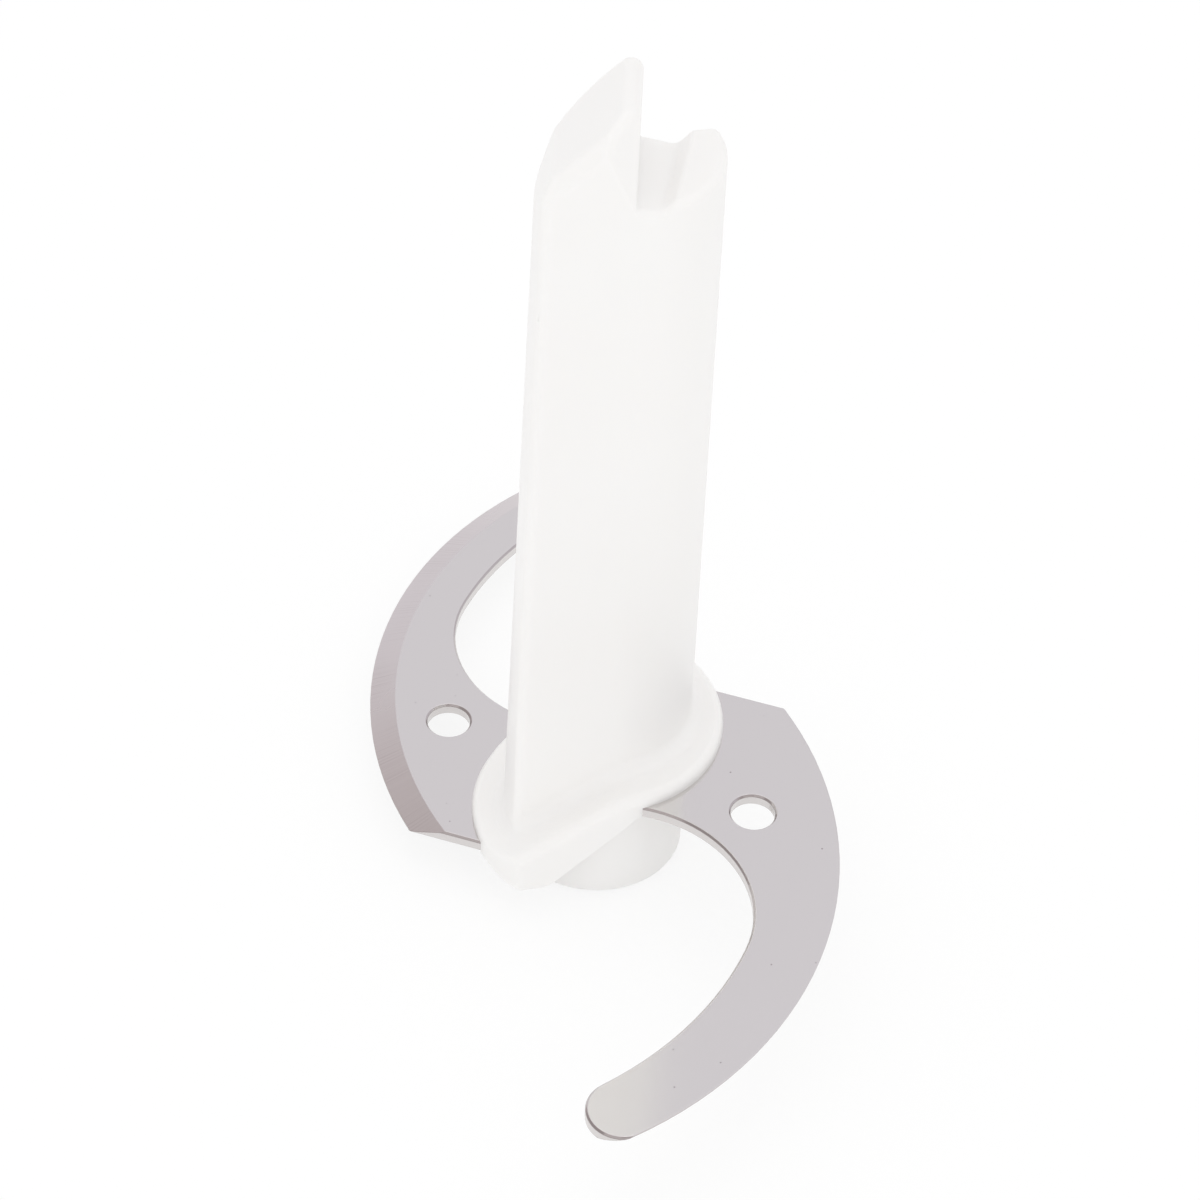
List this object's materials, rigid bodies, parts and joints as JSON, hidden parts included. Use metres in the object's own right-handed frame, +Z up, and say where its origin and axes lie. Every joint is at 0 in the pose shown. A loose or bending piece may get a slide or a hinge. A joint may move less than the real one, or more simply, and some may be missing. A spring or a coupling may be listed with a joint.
{
  "type": "food processor blade",
  "caption": "Food processor cutter: a stepped S-shaped steel blade with ground cutting edges, held in a tall plastic hub with a toothed top and a drive-shaft socket below.",
  "frame": {"origin": "on the hub's axis, at the lower face of the boss that the part stands on", "axes": "+Z up along the hub's axis to the toothed top, +X along the step from the lower arm up to the upper arm, +Y to the lower arm's tip"},
  "size_m": [0.0852, 0.18, 0.1635],
  "materials": {
    "hub_plastic": "satin white moulded plastic",
    "blade_steel": "polished stainless steel with ground edges"
  },
  "bodies": {
    "root": {"hub": "hub_plastic", "blade": "blade_steel"}
  },
  "joints": []
}
